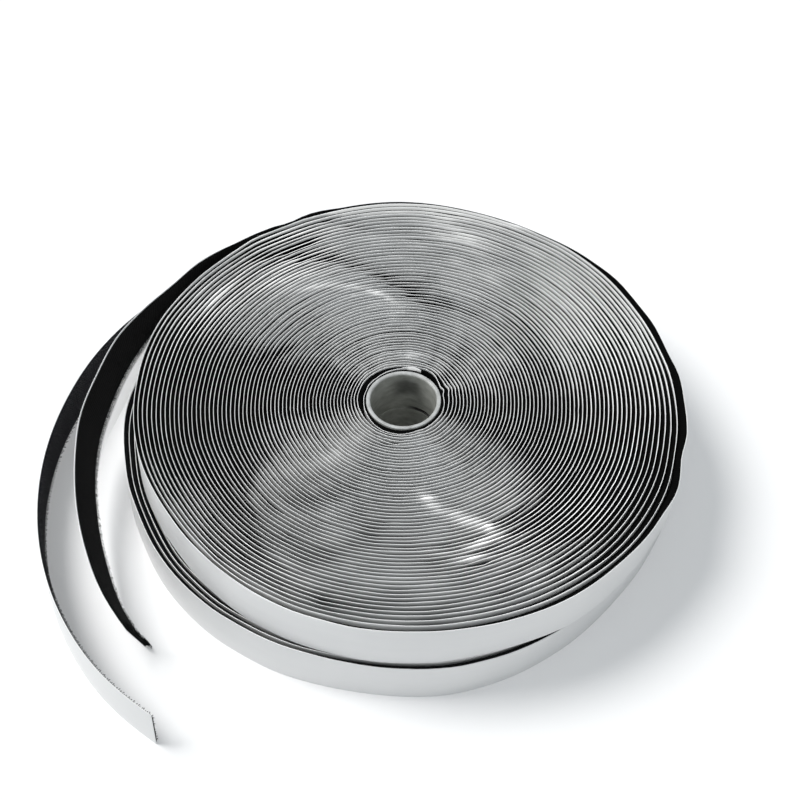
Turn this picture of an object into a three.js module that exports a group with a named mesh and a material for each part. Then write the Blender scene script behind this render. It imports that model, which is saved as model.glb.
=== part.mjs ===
// Two rolls of self-adhesive hook and loop tape, the loop roll standing on the hook roll.
// Each tape is wound outwards and counter-clockwise, seen from above, with its face to the core
// and its release liner on the outside. The inner turns are pressed into one solid mass that is
// grooved round both faces, the open outer turns are real spirals of tape and liner, and each roll
// ends in a free tail.
// Lengths are millimetres, angles are degrees, +Z is up and the floor is at zero.
import * as THREE from "three";

// Tape and liner
const tapeWidth = 20;
const tapeThickness = 0.95;
const linerWidth = 22.5;
const linerThickness = 0.3;
const layerClearance = 0.3;

// Core tube
const coreBore = 28.4;
const coreWall = 1.9;
const coreClearance = 0.3;
const coreSteps = 60;

// Winding, as the open outer turns have it
const turnPitch = 2;
const stepsPerTurn = 30;
const tailEndGap = 0.35;
const stackClearance = 0.5;

// Grooves round both faces of the inner turns, as deep as the liner's edges stand past the tape:
// every few turns the edges stand apart and the tape shows between them
const turnsPerGroove = 6;
const grooveWidth = 3;

// Hook roll: its radius is where the tail leaves it, and the reach is the tail's way out from the
// wider roll
const hookRadius = 121;
const hookOpenTurns = 6;
const hookTailStartAzimuth = 108;
const hookLooseBulge = 3.6;
const hookLooseAzimuth = -188;
const hookLooseAngle = 44;
const hookTailSweepAngle = 127;
const hookTailReach = 53;

// Loop roll: the same values, and the largest lean of its twisted tail
const loopRadius = 118.6;
const loopOpenTurns = 10;
const loopTailStartAzimuth = 122;
const loopLooseBulge = 5;
const loopLooseAzimuth = -35;
const loopLooseAngle = 75;
const loopTailSweepAngle = 102;
const loopTailReach = 19.4;
const loopTailLeanAngle = 20;

// Tails, at equal steps of azimuth from where they leave their rolls to their cut ends. A tail
// first comes out to the radius of the wider roll, and then reaches on from there.
const tailSteps = 34;
const tailClearShares = [0, 0.1, 0.4, 0.8, 1, 1, 1, 1, 1, 1, 1, 1, 1];
const hookTailOutShares = [0, 0.05, 0.17, 0.3, 0.4, 0.49, 0.57, 0.66, 0.75, 0.84, 0.92, 0.98, 1];
const loopTailOutShares = [0, 0.03, 0.11, 0.26, 0.37, 0.42, 0.52, 0.64, 0.76, 0.85, 0.92, 0.98, 1];
const loopTailFootShares = [1, 1, 1, 0.99, 0.96, 0.92, 0.8, 0.65, 0.5, 0.34, 0.2, 0.09, 0.02];
const loopTailLeanShares = [0, 0, -0.07, -0.19, -0.12, 0.24, 0.47, 0.68, 0.75, 0.9, 0.92, 0.88, 1];
const loosenessFadeShare = 0.3;

// Sizes that follow
const rollSpacing = linerWidth + stackClearance;
const widestRadius = Math.max(hookRadius, loopRadius);
const coreRadius = coreBore / 2 + coreWall;
const tapeRise = (linerWidth - tapeWidth) / 2;
const tapeDepth = linerThickness + layerClearance;
const buildUp = tapeDepth + tapeThickness;
const degree = Math.PI / 180;
const fullTurn = 360;

const rolls = [
  {
    name: "hook",
    base: 0,
    radius: hookRadius,
    openTurns: hookOpenTurns,
    tailStart: hookTailStartAzimuth,
    looseBulge: hookLooseBulge,
    looseAzimuth: hookLooseAzimuth,
    looseAngle: hookLooseAngle,
    tailSweep: hookTailSweepAngle,
    tailReach: hookTailReach,
    tailLean: 0,
    tailOutShares: hookTailOutShares,
    tailFootShares: hookTailOutShares.map(() => 0),
    tailLeanShares: hookTailOutShares.map(() => 0),
    tapeColour: 0x242528,
  },
  {
    name: "loop",
    base: rollSpacing,
    radius: loopRadius,
    openTurns: loopOpenTurns,
    tailStart: loopTailStartAzimuth,
    looseBulge: loopLooseBulge,
    looseAzimuth: loopLooseAzimuth,
    looseAngle: loopLooseAngle,
    tailSweep: loopTailSweepAngle,
    tailReach: loopTailReach,
    tailLean: loopTailLeanAngle,
    tailOutShares: loopTailOutShares,
    tailFootShares: loopTailFootShares,
    tailLeanShares: loopTailLeanShares,
    tapeColour: 0x111112,
  },
];

const linerMaterial = new THREE.MeshStandardMaterial({
  color: 0xdcdddd,
  roughness: 0.38,
  metalness: 0,
});
const coreMaterial = new THREE.MeshStandardMaterial({
  color: 0xb9bcc0,
  roughness: 0.3,
  metalness: 0,
});
const tapeMaterial = (colour) =>
  new THREE.MeshStandardMaterial({ color: colour, roughness: 0.95, metalness: 0 });

// A unit direction in the floor plane at an azimuth.
function direction(azimuth) {
  return new THREE.Vector3(Math.cos(azimuth * degree), Math.sin(azimuth * degree), 0);
}

// How far a turn stands out where the winding has slackened: a smooth bulge round one azimuth,
// largest on the last turn and fading on each turn below it.
function slack(roll, azimuth) {
  const turnsBelow = Math.round((roll.looseAzimuth - azimuth) / fullTurn);
  const away = azimuth + turnsBelow * fullTurn - roll.looseAzimuth;
  if (Math.abs(away) >= roll.looseAngle) return 0;
  const swell = Math.cos(((away / roll.looseAngle) * Math.PI) / 2) ** 2;
  return roll.looseBulge * swell * loosenessFadeShare ** turnsBelow;
}

// The radius of the liner's outer face, a number of turns before the end of the winding.
function windingRadius(roll, turnsIn) {
  return roll.radius - turnPitch * turnsIn + slack(roll, roll.tailStart - fullTurn * turnsIn);
}

// A station is a place along the liner's outer face: its foot, the way out and the way up the width.
function windingStations(roll) {
  const steps = roll.openTurns * stepsPerTurn;
  return Array.from({ length: steps + 1 }, (_, step) => {
    const turnsIn = (steps - step) / stepsPerTurn;
    const outward = direction(roll.tailStart - fullTurn * turnsIn);
    const foot = outward.clone().multiplyScalar(windingRadius(roll, turnsIn));
    return { foot, outward, up: new THREE.Vector3(0, 0, 1) };
  });
}

// A smooth curve through a table of shares, read at places from 0 to 1.
function smoothTable(shares) {
  const points = shares.map((share) => new THREE.Vector3(share, 0, 0));
  const curve = new THREE.CatmullRomCurve3(points, false, "catmullrom", 0.5);
  return (along) => curve.getPoint(THREE.MathUtils.clamp(along, 0, 1)).x;
}

// The tail's stations: the tables give how far out it stands, how high its foot is and how far its
// top leans out, and the way out is square to the foot's own line.
function tailStations(roll) {
  const clearShare = smoothTable(tailClearShares);
  const outShare = smoothTable(roll.tailOutShares);
  const footShare = smoothTable(roll.tailFootShares);
  const leanShare = smoothTable(roll.tailLeanShares);
  const clearing = widestRadius - roll.radius;
  const startGap = tailEndGap / roll.radius / degree / roll.tailSweep;
  const footAt = (along) => {
    const radius = roll.radius + clearing * clearShare(along) + roll.tailReach * outShare(along);
    const foot = direction(roll.tailStart + roll.tailSweep * along).multiplyScalar(radius);
    foot.z = roll.base * (footShare(along) - 1);
    return foot;
  };
  return Array.from({ length: tailSteps + 1 }, (_, step) => {
    const along = startGap + (1 - startGap) * (step / tailSteps);
    const slice = 1 / tailSteps;
    const way = footAt(along + slice).sub(footAt(along - slice));
    const outward = new THREE.Vector3(way.y, -way.x, 0).normalize();
    const lean = roll.tailLean * leanShare(along) * degree;
    const up = new THREE.Vector3(0, 0, Math.cos(lean)).addScaledVector(outward, Math.sin(lean));
    outward.multiplyScalar(Math.cos(lean));
    outward.z = -Math.sin(lean);
    return { foot: footAt(along), outward, up };
  });
}

// The four corners of a layer at a station: its depth below the liner's outer face, its thickness,
// its rise above the liner's foot and its width.
function layerCorners({ foot, outward, up }, layer) {
  const { depth, thickness, rise, width } = layer;
  return [
    [depth + thickness, rise],
    [depth, rise],
    [depth, rise + width],
    [depth + thickness, rise + width],
  ].map(([inward, upward]) =>
    foot.clone().addScaledVector(outward, -inward).addScaledVector(up, upward),
  );
}

const linerLayer = { depth: 0, thickness: linerThickness, rise: 0, width: linerWidth };
const tapeLayer = { depth: tapeDepth, thickness: tapeThickness, rise: tapeRise, width: tapeWidth };

// One unbroken ribbon: the corners of each station joined to those of the next, with both ends closed.
// Both broad faces are split from foot to top, so that a twisted ribbon keeps its thickness.
function ribbon(stations, layer) {
  const sections = stations.map((station) => layerCorners(station, layer));
  const sides = sections[0].length;
  const last = (sections.length - 1) * sides;
  const faces = [0, 1, 2, 0, 2, 3, last, last + 2, last + 1, last, last + 3, last + 2];
  for (let start = 0; start < last; start += sides) {
    for (let side = 0; side < sides; side++) {
      const a = start + side;
      const b = start + ((side + 1) % sides);
      const [c, d] = [a + sides, b + sides];
      if (side < sides / 2) faces.push(a, c, d, a, d, b);
      else faces.push(a, c, b, b, c, d);
    }
  }
  const geometry = new THREE.BufferGeometry().setFromPoints(sections.flat());
  geometry.setIndex(faces);
  geometry.computeVertexNormals();
  return geometry;
}

// The radii of the grooves' middles, evenly apart between the two walls of the inner turns.
function grooveRadii(innerRadius, outerRadius) {
  const spacing = turnsPerGroove * turnPitch;
  const count = Math.floor((outerRadius - innerRadius - grooveWidth) / spacing);
  return Array.from({ length: count }, (_, i) => innerRadius + spacing * (i + 1));
}

// A tube round the roll's axis, with its flats in step with the flats of the turns outside it, and
// with grooves round both its faces at the radii given.
function tube(roll, innerRadius, outerRadius, steps, grooves = []) {
  const half = grooveWidth / 2;
  const foot = [
    [innerRadius, 0],
    ...grooves.flatMap((middle) => [
      [middle - half, 0],
      [middle - half, tapeRise],
      [middle + half, tapeRise],
      [middle + half, 0],
    ]),
    [outerRadius, 0],
  ];
  const top = foot.map(([radius, height]) => [radius, linerWidth - height]).reverse();
  const profile = [...foot, ...top, foot[0]].map(([radius, height]) => new THREE.Vector2(radius, height));
  const seam = (roll.tailStart + fullTurn / 4) * degree;
  return new THREE.LatheGeometry(profile, steps).rotateX(Math.PI / 2).rotateZ(seam);
}

// The least air between a layer and the same layer one turn or more below it, measured between
// points on its two faces, at each station and halfway between stations.
function leastGap(stations, layer) {
  const facePoints = (corner) => {
    const line = stations.map((station) => layerCorners(station, layer)[corner]);
    return line.flatMap((point, i) => (i ? [point.clone().lerp(line[i - 1], 0.5), point] : [point]));
  };
  const innerFace = facePoints(0);
  const outerFace = facePoints(1);
  const halfTurn = stepsPerTurn;
  let least = Infinity;
  outerFace.forEach((below, i) => {
    innerFace.slice(i + halfTurn).forEach((above) => {
      least = Math.min(least, below.distanceTo(above));
    });
  });
  return least;
}

function buildRoll(roll) {
  const group = new THREE.Group();
  group.position.z = roll.base;
  const add = (name, geometry, material) => {
    const mesh = new THREE.Mesh(geometry, material);
    mesh.name = name;
    group.add(mesh);
  };
  const turns = windingStations(roll);
  const tail = tailStations(roll);
  const cloth = tapeMaterial(roll.tapeColour);
  const massBore = coreRadius + coreClearance;
  const massRadius = windingRadius(roll, roll.openTurns) - buildUp - layerClearance;
  const grooves = grooveRadii(massBore, massRadius);

  add(roll.name + "_roll_core", tube(roll, coreBore / 2, coreRadius, coreSteps), coreMaterial);
  const mass = tube(roll, massBore, massRadius, stepsPerTurn, grooves);
  add(roll.name + "_roll_inner_turns", mass, cloth);
  add(roll.name + "_tape_outer_turns", ribbon(turns, tapeLayer), cloth);
  add(roll.name + "_liner_outer_turns", ribbon(turns, linerLayer), linerMaterial);
  add(roll.name + "_tape_tail", ribbon(tail, tapeLayer), cloth);
  add(roll.name + "_liner_tail", ribbon(tail, linerLayer), linerMaterial);

  const gaps = [tapeLayer, linerLayer].map((layer) => leastGap(turns, layer).toFixed(2));
  console.log(`${roll.name} winding: least gap to itself, tape ${gaps[0]} mm, liner ${gaps[1]} mm`);
  return group;
}

const pair = new THREE.Group();
rolls.forEach((roll) => pair.add(buildRoll(roll)));

// The origin is the middle of the bottom of the whole object's box.
pair.updateMatrixWorld(true);
const box = new THREE.Box3().setFromObject(pair, true);
const middle = box.getCenter(new THREE.Vector3());
pair.position.set(-middle.x, -middle.y, -box.min.z);
console.log(`roll axis at x ${(-middle.x).toFixed(2)}, y ${(-middle.y).toFixed(2)} mm`);

export default pair;
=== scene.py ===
import math

import bpy
import numpy as np
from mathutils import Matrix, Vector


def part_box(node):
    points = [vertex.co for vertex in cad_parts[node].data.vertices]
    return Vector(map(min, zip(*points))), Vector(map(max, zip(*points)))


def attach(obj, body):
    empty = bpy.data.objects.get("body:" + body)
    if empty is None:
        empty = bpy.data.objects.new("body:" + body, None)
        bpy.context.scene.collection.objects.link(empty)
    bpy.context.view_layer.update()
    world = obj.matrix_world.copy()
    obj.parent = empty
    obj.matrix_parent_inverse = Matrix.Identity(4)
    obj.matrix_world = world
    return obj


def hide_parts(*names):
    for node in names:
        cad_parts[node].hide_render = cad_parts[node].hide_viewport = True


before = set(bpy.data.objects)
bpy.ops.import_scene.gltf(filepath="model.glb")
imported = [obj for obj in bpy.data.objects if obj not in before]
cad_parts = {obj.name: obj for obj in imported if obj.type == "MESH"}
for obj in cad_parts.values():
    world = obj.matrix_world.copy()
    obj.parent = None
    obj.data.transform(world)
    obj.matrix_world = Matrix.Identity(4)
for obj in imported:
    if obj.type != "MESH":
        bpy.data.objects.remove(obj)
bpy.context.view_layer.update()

# Studio: a white table top under a broad soft light from the left, seen from the front and half
# above through a long lens, as close product pictures are taken.
MM = 0.001
core_low, core_high = (np.array(corner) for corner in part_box("loop_roll_core"))
axis_x, axis_y = (core_low + core_high)[:2] / 2
stack_top = core_high[2]

VIEW_ELEVATION = math.radians(50.6)
VIEW_DISTANCE = 892.5 * MM
LENS_PIXELS = 2075
PICTURE_PIXELS = 800
AIM_PIXEL = (403.5, 399.5)
SENSOR = 36
SKY_TINT = (0.885, 0.955, 1.0, 1)
SKY_STRENGTH = 0.42
TABLE_PAINT = (0.84, 0.84, 0.845, 1)
TABLE_GLOW = 0.14
TABLE_REACH = 12.0

lens = bpy.data.cameras.new("view")
lens.sensor_width = SENSOR
lens.lens = LENS_PIXELS / PICTURE_PIXELS * SENSOR
lens.shift_x = (PICTURE_PIXELS / 2 - AIM_PIXEL[0]) / PICTURE_PIXELS
lens.shift_y = (AIM_PIXEL[1] - PICTURE_PIXELS / 2) / PICTURE_PIXELS
lens.clip_start = 10 * MM
camera = bpy.data.objects.new("view", lens)
camera.location = (
    axis_x,
    axis_y - VIEW_DISTANCE * math.cos(VIEW_ELEVATION),
    stack_top + VIEW_DISTANCE * math.sin(VIEW_ELEVATION),
)
camera.rotation_euler = (math.pi / 2 - VIEW_ELEVATION, 0, 0)
bpy.context.scene.collection.objects.link(camera)
bpy.context.scene.camera = camera
bpy.context.scene.view_settings.view_transform = "Standard"


def distant_lamp(name, strength, tilt, bearing, spread, tint):
    """A distant lamp, tilted from straight down and turned about the upright. Degrees."""
    data = bpy.data.lights.new(name, "SUN")
    data.energy = strength
    data.angle = math.radians(spread)
    data.color = tint
    lamp = bpy.data.objects.new(name, data)
    lamp.rotation_euler = (math.radians(tilt), 0, math.radians(bearing))
    bpy.context.scene.collection.objects.link(lamp)


distant_lamp("key", strength=2.5, tilt=36, bearing=250, spread=30, tint=(1.0, 0.992, 0.978))
distant_lamp("fill", strength=0.28, tilt=55, bearing=20, spread=80, tint=(1.0, 0.975, 0.95))

# The room's light is bluish and dim, but the camera and reflections see it white.
world = bpy.data.worlds.new("studio")
bpy.context.scene.world = world
world.use_nodes = True
nodes, links = world.node_tree.nodes, world.node_tree.links
nodes.clear()
ambient = nodes.new("ShaderNodeBackground")
ambient.inputs["Color"].default_value = SKY_TINT
ambient.inputs["Strength"].default_value = SKY_STRENGTH
white = nodes.new("ShaderNodeBackground")
rays = nodes.new("ShaderNodeLightPath")
seen = nodes.new("ShaderNodeMath")
seen.operation = "MAXIMUM"
mirrored = nodes.new("ShaderNodeMath")
mirrored.operation = "MAXIMUM"
mixer = nodes.new("ShaderNodeMixShader")
links.new(rays.outputs["Is Camera Ray"], seen.inputs[0])
links.new(rays.outputs["Is Glossy Ray"], mirrored.inputs[0])
links.new(rays.outputs["Is Transmission Ray"], mirrored.inputs[1])
links.new(mirrored.outputs[0], seen.inputs[1])
links.new(seen.outputs[0], mixer.inputs[0])
links.new(ambient.outputs[0], mixer.inputs[1])
links.new(white.outputs[0], mixer.inputs[2])
links.new(mixer.outputs[0], nodes.new("ShaderNodeOutputWorld").inputs[0])

corners = [(x * TABLE_REACH, y * TABLE_REACH, 0) for x, y in ((-1, -1), (1, -1), (1, 1), (-1, 1))]
floor_mesh = bpy.data.meshes.new("floor")
floor_mesh.from_pydata(corners, [], [(0, 1, 2, 3)])
floor = bpy.data.objects.new("floor", floor_mesh)
bpy.context.scene.collection.objects.link(floor)
table_top = bpy.data.materials.new("table_top")
table_top.use_nodes = True
nodes, links = table_top.node_tree.nodes, table_top.node_tree.links
nodes.clear()
paint = nodes.new("ShaderNodeBsdfDiffuse")
paint.inputs["Color"].default_value = TABLE_PAINT
glow = nodes.new("ShaderNodeEmission")
rays = nodes.new("ShaderNodeLightPath")
seen = nodes.new("ShaderNodeMath")
seen.operation = "MULTIPLY"
seen.inputs[1].default_value = TABLE_GLOW
both = nodes.new("ShaderNodeAddShader")
links.new(rays.outputs["Is Camera Ray"], seen.inputs[0])
links.new(seen.outputs[0], glow.inputs["Strength"])
links.new(paint.outputs[0], both.inputs[0])
links.new(glow.outputs[0], both.inputs[1])
links.new(both.outputs[0], nodes.new("ShaderNodeOutputMaterial").inputs[0])
floor_mesh.materials.append(table_top)


# Core tubes: a short extruded polypropylene tube in each roll, greyish white and cloudy, cut
# square with lightly broken edges. The tape is wound straight onto it.
CORE_BORE_RADIUS = 14.2 * MM
CORE_WALL = 1.9 * MM
CORE_EDGE = 0.35 * MM
BORE_EDGE = 1.0 * MM
SEAM_EDGE = 0.1 * MM
CORE_STEPS = 160
CORNER_STEPS = 6
RIM_DEPTH = 1.0 * MM
SEAM_WEDGE = 1.1 * MM
SEAM_AZIMUTH = 48
SEAM_SPREAD = 42
# Painted shade: a band by the open seam and a patch in the back of the bore, and how dark each is.
SEAM_SHADE_BELOW = 1.0 * MM
SEAM_SHADE = 0.03
BORE_SHADE_AZIMUTH = 84
BORE_SHADE_SPREAD = 32
BORE_SHADE_ABOVE = 9 * MM
BORE_SHADE_BELOW = 4 * MM
BORE_SHADE_FADE = 3 * MM
BORE_SHADE = 0.4
CORE_DULL = (0.33, 0.335, 0.325, 1)
CORE_BRIGHT = (0.61, 0.62, 0.62, 1)
# Painted shade in the bore, under the rim's painted highlight.
CORE_SHADE = (0.74, 0.74, 0.69, 1)
CORE_CLOUDS = (170, 170, 330)
SHARP_ANGLE = math.radians(40)


def skin_object(name, rings, uv=None, closed_path=False):
    """A closed skin through rings of points, an array of stations by points by three. Each ring
    is joined to the next one, and the two ends are capped unless the path closes on itself."""
    stations, points = rings.shape[:2]
    index = np.arange(stations * points).reshape(stations, points)
    here = index if closed_path else index[:-1]
    there = np.roll(index, -1, axis=0) if closed_path else index[1:]
    corners = [here, there, np.roll(there, -1, axis=1), np.roll(here, -1, axis=1)]
    faces = np.stack(corners, axis=-1).reshape(-1, 4).tolist()
    if not closed_path:
        faces += [index[0].tolist(), index[-1][::-1].tolist()]
    mesh = bpy.data.meshes.new(name)
    mesh.from_pydata(rings.reshape(-1, 3).tolist(), [], faces)
    if uv is not None:
        at_corner = np.zeros(len(mesh.loops), np.int32)
        mesh.loops.foreach_get("vertex_index", at_corner)
        layer = mesh.uv_layers.new(name="strip")
        layer.data.foreach_set("uv", uv.reshape(-1, 2)[at_corner].ravel())
    mesh.shade_smooth()
    mesh.set_sharp_from_angle(angle=SHARP_ANGLE)
    piece = bpy.data.objects.new(name, mesh)
    bpy.context.scene.collection.objects.link(piece)
    return piece


def window(azimuth, centre, spread):
    """A smooth hump of height 1 round one azimuth, all in degrees: the cosine squared of the way
    from it, as a share of the spread, where it ends."""
    away = (azimuth - centre + 180) % 360 - 180
    return np.where(np.abs(away) < spread, np.cos(away / spread * math.pi / 2) ** 2, 0)


def core_rings(low, high, wedge):
    """A turned tube: a rectangle of wall by height with its four corners rounded, carried round
    the axis. Each corner of the profile is a quarter circle of its own radius. The wedge is cut
    off the lower end as a hump over one side."""
    quarter = np.linspace(0, math.pi / 2, CORNER_STEPS)
    inner, outer = CORE_BORE_RADIUS, CORE_BORE_RADIUS + CORE_WALL
    corners = [
        (outer - CORE_EDGE, low + CORE_EDGE, -math.pi / 2, CORE_EDGE),
        (outer - CORE_EDGE, high - CORE_EDGE, 0, CORE_EDGE),
        (inner + BORE_EDGE, high - BORE_EDGE, math.pi / 2, BORE_EDGE),
        (inner + SEAM_EDGE, low + SEAM_EDGE, math.pi, SEAM_EDGE),
    ]
    radius = np.concatenate([r + edge * np.cos(turn + quarter) for r, _, turn, edge in corners])
    height = np.concatenate([z + edge * np.sin(turn + quarter) for _, z, turn, edge in corners])
    round_axis = np.linspace(0, 2 * math.pi, CORE_STEPS, endpoint=False)[:, None]
    x = axis_x + radius * np.cos(round_axis)
    y = axis_y + radius * np.sin(round_axis)
    hump = window(np.degrees(round_axis), SEAM_AZIMUTH, SEAM_SPREAD)
    cut = wedge * hump * (height < (low + high) / 2)
    return np.stack([x, y, height + cut], axis=-1)


def node_maker(tree):
    """A function that adds a node to a tree. What it is given by name goes to the input of that
    name, or else to the node's own setting."""

    def add(kind, **settings):
        node = tree.nodes.new(kind)
        for key, value in settings.items():
            if key in node.inputs:
                node.inputs[key].default_value = value
            else:
                setattr(node, key, value)
        return node

    return add


def new_material(name, **sockets):
    """A material with its Principled shader's sockets set. Returns the material, the shader, and
    the functions that add a node and a link."""
    material = bpy.data.materials.new(name)
    material.use_nodes = True
    tree = material.node_tree
    shader = tree.nodes["Principled BSDF"]
    for socket, value in sockets.items():
        shader.inputs[socket.replace("_", " ")].default_value = value
    return material, shader, node_maker(tree), tree.links.new


def mottle_group():
    """Cloudy plastic: a stretched noise gives a tint between two colours, a gloss between two
    roughnesses and a height for the relief."""
    group = bpy.data.node_groups.new("mottle", "ShaderNodeTree")
    for name, kind in (
        ("Vector", "NodeSocketVector"),
        ("Stretch", "NodeSocketVector"),
        ("Dull", "NodeSocketColor"),
        ("Bright", "NodeSocketColor"),
        ("Smooth", "NodeSocketFloat"),
        ("Rough", "NodeSocketFloat"),
    ):
        group.interface.new_socket(name, in_out="INPUT", socket_type=kind)
    for name, kind in (
        ("Tint", "NodeSocketColor"),
        ("Gloss", "NodeSocketFloat"),
        ("Height", "NodeSocketFloat"),
    ):
        group.interface.new_socket(name, in_out="OUTPUT", socket_type=kind)
    add, link = node_maker(group), group.links.new
    given, made = add("NodeGroupInput"), add("NodeGroupOutput")
    stretch = add("ShaderNodeVectorMath", operation="MULTIPLY")
    cloud = add("ShaderNodeTexNoise", Scale=1.0, Detail=5.0, Roughness=0.6)
    contrast = add("ShaderNodeMapRange")
    contrast.inputs["From Min"].default_value = 0.3
    contrast.inputs["From Max"].default_value = 0.7
    tint = add("ShaderNodeMix", data_type="RGBA")
    gloss = add("ShaderNodeMapRange")
    link(given.outputs["Vector"], stretch.inputs[0])
    link(given.outputs["Stretch"], stretch.inputs[1])
    link(stretch.outputs[0], cloud.inputs["Vector"])
    link(cloud.outputs["Fac"], contrast.inputs["Value"])
    link(contrast.outputs["Result"], tint.inputs["Factor"])
    link(given.outputs["Dull"], tint.inputs[6])
    link(given.outputs["Bright"], tint.inputs[7])
    link(contrast.outputs["Result"], gloss.inputs["Value"])
    link(given.outputs["Smooth"], gloss.inputs["To Min"])
    link(given.outputs["Rough"], gloss.inputs["To Max"])
    link(tint.outputs[2], made.inputs["Tint"])
    link(gloss.outputs["Result"], made.inputs["Gloss"])
    link(contrast.outputs["Result"], made.inputs["Height"])
    return group


# Painted light: the top millimetre of the cloudy tube keeps its colour as a painted highlight on
# the rim, and everything below it is painted darker as shade in the bore.
core_material, shader, add, link = new_material("core_plastic", Specular_IOR_Level=0.4)
place = add("ShaderNodeTexCoord")
mottle = mottle_group()
clouds = add("ShaderNodeGroup", node_tree=mottle)
clouds.inputs["Stretch"].default_value = CORE_CLOUDS
clouds.inputs["Dull"].default_value = CORE_DULL
clouds.inputs["Bright"].default_value = CORE_BRIGHT
clouds.inputs["Smooth"].default_value = 0.28
clouds.inputs["Rough"].default_value = 0.45
height = add("ShaderNodeSeparateXYZ")
rim = add("ShaderNodeMapRange")
rim.inputs["From Min"].default_value = stack_top - RIM_DEPTH
rim.inputs["From Max"].default_value = stack_top
bore_shade_tint = add("ShaderNodeMix", data_type="RGBA", blend_type="MULTIPLY", Factor=1.0)
shade = add("ShaderNodeValToRGB")
shade.color_ramp.elements[0].color = CORE_SHADE
shade.color_ramp.elements[1].color = (1, 1, 1, 1)
relief = add("ShaderNodeBump", Strength=0.3, Distance=0.1 * MM)
link(place.outputs["Object"], clouds.inputs["Vector"])
link(place.outputs["Object"], height.inputs["Vector"])
link(height.outputs["Z"], rim.inputs["Value"])
link(rim.outputs["Result"], shade.inputs["Fac"])
link(clouds.outputs["Tint"], bore_shade_tint.inputs[6])
link(shade.outputs["Color"], bore_shade_tint.inputs[7])


def shade_mask(way, spread, low, high, fade):
    """A mask for painted shade on the side of the tube that looks one way, in degrees round the
    axis,
    between two heights: its place along that way, faded, times its height, faded."""
    aim = math.radians(way)
    side = add("ShaderNodeVectorMath", operation="DOT_PRODUCT")
    side.inputs[1].default_value = (math.cos(aim), math.sin(aim), 0)
    round_side = add("ShaderNodeMapRange", interpolation_type="SMOOTHSTEP")
    middle = axis_x * math.cos(aim) + axis_y * math.sin(aim)
    near = CORE_BORE_RADIUS * math.cos(math.radians(spread))
    round_side.inputs["From Min"].default_value = middle + near
    round_side.inputs["From Max"].default_value = middle + CORE_BORE_RADIUS
    above = add("ShaderNodeMapRange", interpolation_type="SMOOTHSTEP")
    above.inputs["From Min"].default_value = low - fade
    above.inputs["From Max"].default_value = low + fade
    under = add("ShaderNodeMapRange", interpolation_type="SMOOTHSTEP")
    under.inputs["From Min"].default_value = high + fade
    under.inputs["From Max"].default_value = high - fade
    band = add("ShaderNodeMath", operation="MULTIPLY")
    mask = add("ShaderNodeMath", operation="MULTIPLY")
    link(place.outputs["Object"], side.inputs[0])
    link(side.outputs["Value"], round_side.inputs["Value"])
    link(height.outputs["Z"], above.inputs["Value"])
    link(height.outputs["Z"], under.inputs["Value"])
    link(above.outputs["Result"], band.inputs[0])
    link(under.outputs["Result"], band.inputs[1])
    link(band.outputs[0], mask.inputs[0])
    link(round_side.outputs["Result"], mask.inputs[1])
    return mask.outputs[0]


# The seam between the two tubes is open on one side. Painted shade darkens that side of it nearly
# to black, and also darkens the back of the bore.
seam = core_low[2]
tint = bore_shade_tint.outputs[2]
seam_heights = seam - SEAM_SHADE_BELOW, seam + SEAM_WEDGE
bore_heights = seam + BORE_SHADE_ABOVE, stack_top - BORE_SHADE_BELOW
for mask, dark in (
    (shade_mask(SEAM_AZIMUTH, SEAM_SPREAD, *seam_heights, SEAM_EDGE), SEAM_SHADE),
    (shade_mask(BORE_SHADE_AZIMUTH, BORE_SHADE_SPREAD, *bore_heights, BORE_SHADE_FADE), BORE_SHADE),
):
    painted_shade = add("ShaderNodeMix", data_type="RGBA", blend_type="MULTIPLY")
    painted_shade.inputs[7].default_value = (dark, dark, dark, 1)
    link(mask, painted_shade.inputs[0])
    link(tint, painted_shade.inputs[6])
    tint = painted_shade.outputs[2]
link(tint, shader.inputs["Base Color"])
link(clouds.outputs["Gloss"], shader.inputs["Roughness"])
link(clouds.outputs["Height"], relief.inputs["Height"])
link(relief.outputs["Normal"], shader.inputs["Normal"])

for roll in ("hook", "loop"):
    low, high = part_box(roll + "_roll_core")
    wedge = SEAM_WEDGE if roll == "loop" else 0
    core = skin_object(roll + "_core", core_rings(low[2], high[2], wedge), closed_path=True)
    core.data.materials.append(core_material)
    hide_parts(roll + "_roll_core")
    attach(core, roll + "_roll")


# Release liners: a siliconed white film, wider than the tape, wound on the outside of it from
# the core to the free end. Its two edges stand past the tape as a thin wall on each face.
LINER_WIDTH = 22.5 * MM
LINER_THICKNESS = 0.23 * MM
LINER_MARGIN = 1.25 * MM
MOST_BEND = 1.1 * MM
STEPS_PER_TURN = 160
TAIL_STEPS = 260
TURNS = 58
FIRST_PITCH = 1.42 * MM
FIRST_RADIUS = 17.8 * MM
CLIMB_SHARE = 0.12
SETTLING_TURNS = 3.5

# How the turns by the core lie off the even spiral, out or in: millimetres, azimuth and spread. The
# early swells are handed on outwards and die down, and the first lie is the first turn's own. Those
# at the start are placed from where the strip starts, because the later turns climb over its end.
# Where the two begin and end is in turns from the strip's start.
EARLY_FROM = 0.75
EARLY_SWELLS = [(0.9, 150, 85), (0.25, 258, 66)]
START_SWELLS = [(0.9, -12, 32), (0.9, -47, 9)]
FIRST_TO = 0.9
FIRST_LIE = [(-0.7, 155, 90), (0.4, 258, 66)]
START_LIE = (-0.7, -50, 48)

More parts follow.
